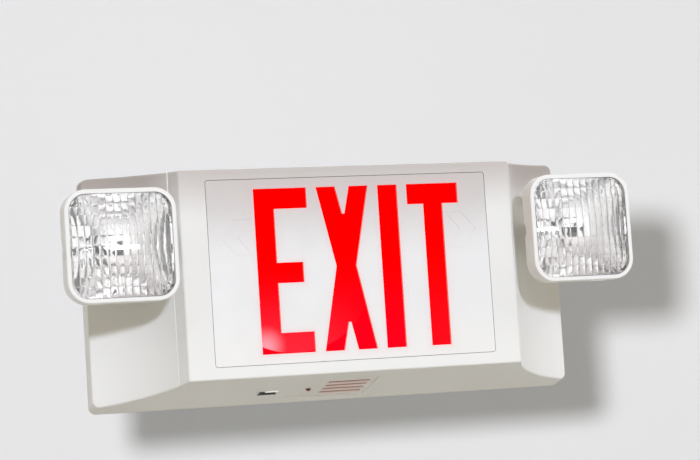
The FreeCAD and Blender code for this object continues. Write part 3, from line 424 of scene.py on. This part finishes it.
def plate_mesh(outlines, front, rear):
    """A plate between two depths from outlines in millimetres, holes by the even-odd rule."""
    curve = bpy.data.curves.new("plate_outline", "CURVE")
    curve.dimensions = "2D"
    curve.fill_mode = "BOTH"
    curve.extrude = (rear - front) / 2
    for points in outlines:
        spline = curve.splines.new("POLY")
        spline.points.add(len(points) - 1)
        for target, (x, z) in zip(spline.points, points):
            target.co = (x * MM, z * MM, 0, 1)
        spline.use_cyclic_u = True
    holder = bpy.data.objects.new("plate_holder", curve)
    mesh = bpy.data.meshes.new_from_object(holder)
    bpy.data.objects.remove(holder)
    for vertex in mesh.vertices:
        x, z, depth = vertex.co
        vertex.co = (x, (front + rear) / 2 - depth, z)
    return mesh


def grid_cut(body, step, low, high):
    """Cuts a flat mesh along lines in X and Z, so that it can carry a smooth painted glow."""
    for axis, normal in ((0, (1, 0, 0)), (2, (0, 0, 1))):
        line = low[axis] + step
        while line < high[axis]:
            spot = [0.0, 0.0, 0.0]
            spot[axis] = line
            everything = body.verts[:] + body.edges[:] + body.faces[:]
            bmesh.ops.bisect_plane(body, geom=everything, plane_co=spot, plane_no=normal)
            line += step


def nearest_edge(point, outlines):
    """The distance from a point to the nearest side of any outline."""
    best = math.inf
    for points in outlines:
        for start, end in zip(points, points[1:] + points[:1]):
            first, side = Vector(start), Vector(end) - Vector(start)
            along = max(0.0, min(1.0, (point - first).dot(side) / side.length_squared))
            best = min(best, (point - first - side * along).length)
    return best


PANEL_CORNER, PANEL_SKIN, TINT_GRID = 2.5, 0.3 * MM, 4 * MM
CHEVRON_TIP, GROOVE_HALF = 124.3, 0.15
# Strength and reach of the painted red glow on the panel near the letters.
GLOW_NEAR, NEAR_REACH, GLOW_FAR, FAR_REACH = 0.32, 2.2, 0.05, 14


def build_panel():
    """The face panel, with the letters cut through it and a chevron grooved on each side."""
    letters = letter_shapes()
    width, height = [(PANEL_HIGH[i] - PANEL_LOW[i]) / MM for i in (0, 2)]
    edge = rounded_rectangle(width, height, PANEL_CORNER, PANEL_Z / MM)
    grooves = []
    for side in (-1, 1):
        shape = chevron(side * CHEVRON_TIP, side)
        grooves += [offset(shape, GROOVE_HALF), offset(shape, -GROOVE_HALF)]
    front = plate_mesh([edge] + letters + grooves, FACE_Y, FACE_Y + PANEL_SKIN)
    back = plate_mesh([edge] + letters, FACE_Y + PANEL_SKIN, PANEL_HIGH[1])
    body = bmesh.new()
    body.from_mesh(front)
    grid_cut(body, TINT_GRID, PANEL_LOW, PANEL_HIGH)
    body.from_mesh(back)
    bmesh.ops.remove_doubles(body, verts=body.verts, dist=1e-6)
    mesh = finished_mesh(body, "sign_panel")
    # Painted light: how strongly each point of the panel is painted with the red glow of the
    # nearby letters.
    glow = mesh.attributes.new("painted_letter_glow", "FLOAT", "POINT")
    for number, vertex in enumerate(mesh.vertices):
        gap = nearest_edge(Vector((vertex.co.x, vertex.co.z)) / MM, letters)
        glow.data[number].value = (GLOW_NEAR * math.exp(-gap / NEAR_REACH)
                                   + GLOW_FAR * math.exp(-gap / FAR_REACH))
    panel = new_object("sign_panel", mesh, panel_white)
    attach(panel, "housing")
    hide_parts("stencil_panel")


build_panel()


PRISM_COLUMNS, PRISM_ROWS = 14, 10
CELL_STEPS = 8
FLUTE_DEPTH, ROW_DEPTH, PRISM_POWER = 0.85, 0.60, 3.2
RIM_FADE = 25


def lamp_axis(side_name):
    low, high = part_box(side_name + "_lamp_bezel")
    return Vector(((low[0] + high[0]) / 2, 0, (low[2] + high[2]) / 2))


def rounded_grid(u, v, half, corner):
    """Takes a point of the square -1 to 1 to a rounded square, in millimetres."""
    x, z = u * half, v * half
    inner = half - corner
    if abs(x) > inner and abs(z) > inner:
        across = Vector((abs(x) - inner, abs(z) - inner))
        across = across.normalized() * max(across)
        x = math.copysign(inner + across.x, x)
        z = math.copysign(inner + across.y, z)
    return x, z


def cell_place(step, cells):
    """A step's place across the lens from -1 to 1, with steps close together at cell edges."""
    cell, part = divmod(step, CELL_STEPS)
    share = (1 - math.cos(math.pi * part / CELL_STEPS)) / 2
    return 2 * (cell + share) / cells - 1, 2 * share - 1


def prism_relief(across, up):
    """How deep the prism at a place in its cell stands out of the lens, in millimetres."""
    return (FLUTE_DEPTH * (1 - abs(across) ** PRISM_POWER)
            + ROW_DEPTH * (1 - abs(up) ** PRISM_POWER))


def build_lens(side_name):
    """A crowned lens, smooth in front, with rows of fluted prisms on its inner side."""
    low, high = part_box(side_name + "_lamp_lens")
    centre = lamp_axis(side_name)
    half, corner, edge_rise, wall = 46.3, 15.5, 1.5, 1.6
    crown = (high[1] - low[1]) / MM - 2
    rise = crown - edge_rise
    dome = (half * half * 1.45 + rise * rise) / (2 * rise)
    seat_y = high[1] - 2 * MM
    columns, rows = PRISM_COLUMNS * CELL_STEPS, PRISM_ROWS * CELL_STEPS
    body = bmesh.new()
    skins = []
    for inner in (False, True):
        grid = []
        for j in range(rows + 1):
            line = []
            for i in range(columns + 1):
                (u, across), (v, up) = cell_place(i, PRISM_COLUMNS), cell_place(j, PRISM_ROWS)
                x, z = rounded_grid(u, v, half, corner)
                front = crown - dome + math.sqrt(dome * dome - x * x - z * z)
                edge = min(1.0, (1 - max(abs(u), abs(v))) * RIM_FADE)
                depth = wall + prism_relief(across, up) * edge if inner else 0
                line.append(body.verts.new(
                    (centre.x + x * MM, seat_y - (front - depth) * MM, centre.z + z * MM)))
            grid.append(line)
        skins.append(grid)
        for j in range(rows):
            for i in range(columns):
                body.faces.new((grid[j][i], grid[j][i + 1], grid[j + 1][i + 1], grid[j + 1][i]))
    front, rear = skins
    rim = ([(0, i) for i in range(columns)] + [(j, columns) for j in range(rows)]
           + [(rows, i) for i in range(columns, 0, -1)] + [(j, 0) for j in range(rows, 0, -1)])
    for (a, b), (c, d) in zip(rim, rim[1:] + rim[:1]):
        body.faces.new((front[c][d], front[a][b], rear[a][b], rear[c][d]))
    bmesh.ops.recalc_face_normals(body, faces=body.faces)
    mesh = finished_mesh(body, side_name + "_prism_lens")
    lens = new_object(side_name + "_prism_lens", mesh, lens_clear, smooth=True)
    mesh.set_sharp_from_angle(angle=math.radians(24))
    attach(lens, side_name + "_head")
    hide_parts(side_name + "_lamp_lens")


def rounded_reach(angle, half, corner):
    """The distance from the middle of a rounded square to its edge in one direction."""
    x, z = abs(math.cos(angle)), abs(math.sin(angle))
    flat = half / max(x, z)
    inner = half - corner
    if min(x, z) * flat <= inner:
        return flat
    along = inner * (x + z)
    return along + math.sqrt(along * along - 2 * inner * inner + corner * corner)


def build_mirror(side_name):
    """The dished mirror behind the lens, square at its mouth and round at its throat."""
    low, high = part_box(side_name + "_lamp_reflector")
    centre = lamp_axis(side_name)
    mouth_half, mouth_corner, round_mouth, throat, skin = 46.8, 16.5, 45.0, 7.2, 0.8
    depth = (high[1] - low[1]) / MM - 1.2 - skin
    turns, steps = 96, 26
    body = bmesh.new()
    rings = []
    for step in range(steps + 1):
        share = step / steps
        ring = []
        for turn in range(turns):
            angle = 2 * math.pi * turn / turns
            mouth = rounded_reach(angle, mouth_half, mouth_corner)
            full = round_mouth + (mouth - round_mouth) * share ** 3
            radius = throat + (full - throat) * share
            y = high[1] - (1.2 + skin + depth * share ** 1.9) * MM
            ring.append(body.verts.new((centre.x + radius * math.cos(angle) * MM, y,
                                        centre.z + radius * math.sin(angle) * MM)))
        rings.append(ring)
    for first, second in zip(rings, rings[1:]):
        for turn in range(turns):
            after = (turn + 1) % turns
            body.faces.new((first[turn], first[after], second[after], second[turn]))
    bmesh.ops.recalc_face_normals(body, faces=body.faces)
    bmesh.ops.solidify(body, geom=body.faces[:], thickness=skin * MM)
    mesh = finished_mesh(body, side_name + "_lamp_mirror")
    mirror = new_object(side_name + "_lamp_mirror", mesh, bright, smooth=True)
    mesh.set_sharp_from_angle(angle=math.radians(40))
    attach(mirror, side_name + "_head")
    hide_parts(side_name + "_lamp_reflector")


def lathe(name, profile, centre, material, turns=48):
    """Turns a closed profile of (radius, y) points about the lamp's axis."""
    body = bmesh.new()
    rings = []
    for radius, y in profile:
        count = turns if radius > 1e-6 else 1
        rings.append([body.verts.new((
            centre.x + radius * MM * math.cos(2 * math.pi * turn / turns), y * MM,
            centre.z + radius * MM * math.sin(2 * math.pi * turn / turns)))
            for turn in range(count)])
    for first, second in zip(rings, rings[1:] + rings[:1]):
        for turn in range(turns):
            after = (turn + 1) % turns
            corners = [first[turn % len(first)], first[after % len(first)],
                       second[after % len(second)], second[turn % len(second)]]
            corners = list(dict.fromkeys(corners))
            if len(corners) > 2:
                body.faces.new(corners)
    bmesh.ops.recalc_face_normals(body, faces=body.faces)
    mesh = finished_mesh(body, name)
    item = new_object(name, mesh, material, smooth=True)
    mesh.set_sharp_from_angle(angle=math.radians(40))
    return item


def wire(name, points, thickness, material):
    curve = bpy.data.curves.new(name, "CURVE")
    curve.dimensions = "3D"
    curve.bevel_depth = thickness / 2
    curve.bevel_resolution = 2
    curve.use_fill_caps = True
    spline = curve.splines.new("POLY")
    spline.points.add(len(points) - 1)
    for target, point in zip(spline.points, points):
        target.co = (*point, 1)
    curve.materials.append(material)
    item = bpy.data.objects.new(name, curve)
    bpy.context.collection.objects.link(item)
    return item


def build_bulb(side_name):
    """A clear capsule with its coiled filament on two stiff leads."""
    low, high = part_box(side_name + "_lamp_bulb")
    centre = lamp_axis(side_name)
    radius, glass, base, base_length = (high[0] - low[0]) / 2 / MM, 0.7, 3.7, 6
    nose, back = low[1] / MM, high[1] / MM
    neck = back - base_length
    shoulder = neck - radius / 2
    outer, inner = [], []
    for step in range(9):
        angle = math.pi / 2 * step / 8
        outer.append((radius * math.sin(angle), nose + radius * (1 - math.cos(angle))))
        hollow = radius - glass
        inner.append((hollow * math.sin(angle), nose + glass + hollow * (1 - math.cos(angle))))
    outer += [(radius, shoulder), (base, neck), (base, back), (0, back)]
    inner += [(radius - glass, shoulder), (0, shoulder + 1)]
    capsule = lathe(side_name + "_bulb_capsule", outer + inner[::-1], centre, bulb_clear)
    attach(capsule, side_name + "_head")
    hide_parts(side_name + "_lamp_bulb")
    foot, coil_y, reach, coil_radius, turns = shoulder - 0.4, nose + 8, 3.4, 0.7, 9
    points = [(-1.6, foot, 0), (-reach, coil_y + 4, 0), (-reach, coil_y, 0)]
    for step in range(turns * 8 + 1):
        angle = 2 * math.pi * step / 8
        points.append((-reach + 2 * reach * step / (turns * 8),
                       coil_y + coil_radius * (math.cos(angle) - 1),
                       coil_radius * math.sin(angle)))
    points += [(reach, coil_y + 4, 0), (1.6, foot, 0)]
    filament = wire(side_name + "_bulb_filament",
                    [(centre.x + x * MM, y * MM, centre.z + z * MM) for x, y, z in points],
                    0.35 * MM, tungsten)
    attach(filament, side_name + "_head")


for lamp in ("left", "right"):
    build_lens(lamp)
    build_mirror(lamp)
    build_bulb(lamp)


def boxes(name, corners, material, body_name):
    """Thin rectangular strips, each from its low to its high corner, as one piece."""
    body = bmesh.new()
    for low, high in corners:
        made = bmesh.ops.create_cube(body, size=1.0)["verts"]
        for vertex in made:
            vertex.co = Vector([(low[i] + high[i]) / 2 + vertex.co[i] * (high[i] - low[i])
                                for i in range(3)]) * MM
    bmesh.ops.bevel(body, geom=body.edges[:], offset=0.08 * MM, segments=1)
    item = new_object(name, finished_mesh(body, name), material)
    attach(item, body_name)
    return item


UNDERSIDE_FRONT, UNDERSIDE_SLOPE = -96, 0.2549
SLOTS, FIRST_SLOT, SLOT_PITCH, SLOT_HALF_WIDTH, STRIP_HALF_LENGTH = 4, 34, 10.8, 2.7, 20.3
CREASE_X, CREASE_TOP = 168, 97.0


def underside(y):
    """The height of the housing's sloping underside at a depth, in millimetres."""
    return UNDERSIDE_FRONT - UNDERSIDE_SLOPE * (y - FACE_Y / MM)


def build_slot_painted_shade():
    """Painted shade: red strips along the front edge of each slot in front of the down light,
    standing in for the shaded slot walls.
    """
    strips = []
    for number in range(SLOTS):
        front = FACE_Y / MM + FIRST_SLOT + SLOT_PITCH * number - SLOT_HALF_WIDTH
        strips.append(((-STRIP_HALF_LENGTH, front + 0.15, underside(front) + 0.4),
                       (STRIP_HALF_LENGTH, front + 1.25, underside(front) + 1.9)))
    boxes("down_light_painted_shade", strips, slot_painted_shade, "housing")


def build_beads():
    """The fine bead along the crease between each wing and the raised face; its whiter, glossier
    plastic is a painted highlight.
    """
    for side, name in ((-1, "left"), (1, "right")):
        profile = [(side * (CREASE_X + out), y) for out, y in (
            (0, -78.2), (-0.45, -79.1), (0.1, -79.0), (0.5, -78.1))]
        body = bmesh.new()
        ends = []
        for tall in (0, 1):
            ends.append([body.verts.new((x * MM, y * MM, MM * (
                CREASE_TOP if tall else underside(y) + 1.0))) for x, y in profile])
        low, high = ends
        for i in range(4):
            j = (i + 1) % 4
            body.faces.new((low[i], low[j], high[j], high[i]))
        body.faces.new(low[::-1])
        body.faces.new(high)
        bmesh.ops.recalc_face_normals(body, faces=body.faces)
        mesh = finished_mesh(body, name + "_wing_bead")
        bead = new_object(name + "_wing_bead", mesh, bead_painted_highlight)
        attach(bead, "housing")


def build_well_painted_shade():
    """Painted shade: dark strips lining the recess around the test button, standing in for the
    shade in it.
    """
    low, high = [[value / MM for value in corner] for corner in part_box("test_button")]
    half_length, half_width, off_centre, height = 9.4, 6.9, 3.5, 4.9
    wall, gap = 0.3, 0.35
    middle = (low[0] + high[0]) / 2 - off_centre
    depth = (low[1] + high[1]) / 2
    left, right = middle - half_length, middle + half_length
    front, back = depth - half_width, depth + half_width
    roof = underside(depth) + height
    low_edge = underside(back) + 0.6
    # Painted shade: these black strips stand in for the shade deep in the recess.
    boxes("button_well_painted_shade", [
        ((left, front, roof - wall), (low[0] - gap, back, roof)),
        ((high[0] + gap, front, roof - wall), (right, back, roof)),
        ((low[0] - gap, front, roof - wall), (high[0] + gap, low[1] - gap, roof)),
        ((low[0] - gap, high[1] + gap, roof - wall), (high[0] + gap, back, roof)),
        ((left, front, low_edge), (left + wall, back, roof - wall)),
        ((left + wall, back - wall, low_edge), (right, back, roof - wall)),
    ], black, "housing")


build_slot_painted_shade()
build_beads()
build_well_painted_shade()


# Stage, camera and light

WALL_Y, WALL_REACH = 0.5, 4.0
EVEN_SHARE = 0.44
WORLD_FILL = rgb(0.52, 0.495, 0.42)
LAMP_SPOT = Vector((-0.8095, -1.9795, 0.0455))


def wall_material():
    """Matt paint, a little deeper where the shadow lamp stands nearer, so that it looks even."""
    graph = Graph("wall_paint")
    drift = graph.span(graph.noise(3, 2), 0.3, 0.7)
    paint = graph.mix(drift, rgb(0.722, 0.758, 0.890), rgb(0.732, 0.768, 0.900))
    x, _, z = graph.axes()
    away = graph.math("ADD", graph.math("POWER", graph.math("SUBTRACT", x, LAMP_SPOT.x), 2.0),
                      graph.math("POWER", graph.math("SUBTRACT", z, LAMP_SPOT.z), 2.0))
    height = WALL_Y - LAMP_SPOT.y
    cosine = graph.math("DIVIDE", height, graph.math("SQRT", graph.math(
        "ADD", away, height * height)))
    share = graph.math("DIVIDE", 1.0, graph.plus(
        EVEN_SHARE, graph.times(cosine, 1 - EVEN_SHARE)))
    scale = graph.node("ShaderNodeVectorMath", operation="SCALE")
    graph.link(paint, scale.inputs[0])
    graph.link(share, scale.inputs["Scale"])
    graph.set(Base_Color=scale.outputs[0], Roughness=1.0)
    graph.shader.inputs["Specular IOR Level"].default_value = 0.0
    hidden = graph.node("ShaderNodeBsdfTransparent")
    chooser = graph.node("ShaderNodeMixShader")
    side = graph.node("ShaderNodeNewGeometry")
    graph.link(side.outputs["Backfacing"], chooser.inputs[0])
    graph.link(graph.shader.outputs[0], chooser.inputs[1])
    graph.link(hidden.outputs[0], chooser.inputs[2])
    graph.link(chooser.outputs[0], graph.output.inputs[0])
    return graph.material


wall_mesh = bpy.data.meshes.new("wall")
wall_mesh.from_pydata([(x * WALL_REACH, WALL_Y, z * WALL_REACH) for x, z in (
    (-1, -1), (1, -1), (1, 1), (-1, 1))], [], [(0, 1, 2, 3)])
wall = new_object("wall", wall_mesh, wall_material())

camera_data = bpy.data.cameras.new("camera")
camera_data.lens = 113.14
camera_data.sensor_width = 36
camera_data.clip_end = 50
camera = bpy.data.objects.new("camera", camera_data)
camera.location = (-0.63397, -2.03075, -0.12748)
camera.rotation_euler = Euler([math.radians(a) for a in (94.590, 3.7167, -17.8097)])
bpy.context.collection.objects.link(camera)
bpy.context.scene.camera = camera


def light(name, kind, energy, colour, place=None, towards=None, state=None):
    """A lamp; state says whether it lights only the wall, or everything but the wall."""
    data = bpy.data.lights.new(name, kind)
    data.energy = energy
    data.color = colour
    item = bpy.data.objects.new(name, data)
    if place is not None:
        item.location = place
    if towards is not None:
        item.rotation_euler = Vector(towards).to_track_quat("-Z", "Y").to_euler()
    bpy.context.collection.objects.link(item)
    if state:
        group = bpy.data.collections.new(name + "_lights")
        group.objects.link(wall)
        item.light_linking.receiver_collection = group
        group.collection_objects[0].light_linking.link_state = state
    return item


shadow_lamp = light("shadow_lamp", "POINT", 26.0, (1.0, 0.95, 0.85), place=LAMP_SPOT,
                    state="INCLUDE").data
shadow_lamp.shadow_soft_size = 0.075
shadow_lamp.use_nodes = True
falloff = shadow_lamp.node_tree.nodes.new("ShaderNodeLightFalloff")
shadow_lamp.node_tree.links.new(falloff.outputs["Constant"],
                                shadow_lamp.node_tree.nodes["Emission"].inputs["Strength"])
falloff.inputs["Strength"].default_value = 1.0

front_sun = light("front_sun", "SUN", 2.04, (0.81, 0.86, 1.0),
                  towards=(0.0, 0.95, -0.25), state="EXCLUDE")
front_sun.data.angle = math.radians(5)
front_sun.visible_glossy = False
front_sun.visible_transmission = False

strip_place = Vector((1.8, -9.8, 0.68))
strip = light("window_strip", "AREA", 55, (1.0, 1.0, 1.0), place=strip_place,
              towards=-strip_place)
strip.data.shape = "RECTANGLE"
strip.data.size, strip.data.size_y = 2.0, 0.20
strip.visible_diffuse = False

world = bpy.data.worlds.new("studio")
bpy.context.scene.world = world
world.use_nodes = True
tree = world.node_tree


def world_node(kind, **settings):
    made = tree.nodes.new(kind)
    for key, value in settings.items():
        setattr(made, key, value)
    return made


def world_mix(amount, first, second):
    made = world_node("ShaderNodeMix", data_type="RGBA")
    for item, socket in ((amount, made.inputs[0]), (first, made.inputs[6]),
                         (second, made.inputs[7])):
        if isinstance(item, bpy.types.NodeSocket):
            tree.links.new(item, socket)
        else:
            socket.default_value = item
    return made.outputs[2]


def world_times(first, second):
    made = world_node("ShaderNodeMix", data_type="RGBA", blend_type="MULTIPLY")
    made.inputs[0].default_value = 1.0
    tree.links.new(first, made.inputs[6])
    tree.links.new(second, made.inputs[7])
    return made.outputs[2]


def world_ramp(value, *stops):
    """Colours at stops along a value from -1 to 1; the first two stops are its ends."""
    span = world_node("ShaderNodeMapRange")
    span.inputs["From Min"].default_value = -1
    tree.links.new(value, span.inputs["Value"])
    ramp = world_node("ShaderNodeValToRGB")
    for number, (position, colour) in enumerate(stops):
        stop = (ramp.color_ramp.elements[number] if number < 2
                else ramp.color_ramp.elements.new((position + 1) / 2))
        stop.position = (position + 1) / 2
        stop.color = rgb(*colour)
    tree.links.new(span.outputs[0], ramp.inputs[0])
    return ramp.outputs[0]


path = world_node("ShaderNodeLightPath")
heading = world_node("ShaderNodeSeparateXYZ")
tree.links.new(world_node("ShaderNodeTexCoord").outputs["Generated"], heading.inputs[0])
across = world_ramp(heading.outputs[0], (-1, (0.50, 0.49, 0.48)), (1, (0.42, 0.41, 0.40)),
                    (-0.62, (0.85, 0.84, 0.83)), (-0.3, (1.16, 1.16, 1.17)),
                    (0.46, (1.24, 1.24, 1.25)), (0.76, (0.90, 0.88, 0.88)))
upward = world_ramp(heading.outputs[2], (-1, (0.80, 0.80, 0.80)), (1, (0.45, 0.40, 0.39)),
                    (-0.3, (1.06, 1.05, 1.05)), (0.12, (1.05, 1.05, 1.05)),
                    (0.45, (0.74, 0.70, 0.69)))
sharp = world_node("ShaderNodeMath", operation="MAXIMUM")
tree.links.new(path.outputs["Is Glossy Ray"], sharp.inputs[0])
tree.links.new(path.outputs["Is Transmission Ray"], sharp.inputs[1])
sideways = world_ramp(heading.outputs[0], (-1, (0.20, 0.19, 0.15)), (1, WORLD_FILL[:3]),
                      (-0.9, (0.38, 0.365, 0.30)), (-0.75, WORLD_FILL[:3]))
from_below = world_ramp(heading.outputs[2], (-1, (0.47, 0.44, 0.32)), (1, (1.06, 1.06, 1.06)),
                        (-0.5, (0.52, 0.49, 0.36)), (0.05, (1.0, 1.0, 1.0)))
seen = world_mix(sharp.outputs[0], world_times(sideways, from_below),
                 world_times(across, upward))
seen = world_mix(path.outputs["Is Camera Ray"], seen, rgb(0.807, 0.807, 0.807))
tree.links.new(seen, tree.nodes["Background"].inputs["Color"])

bpy.context.scene.view_settings.view_transform = "Standard"
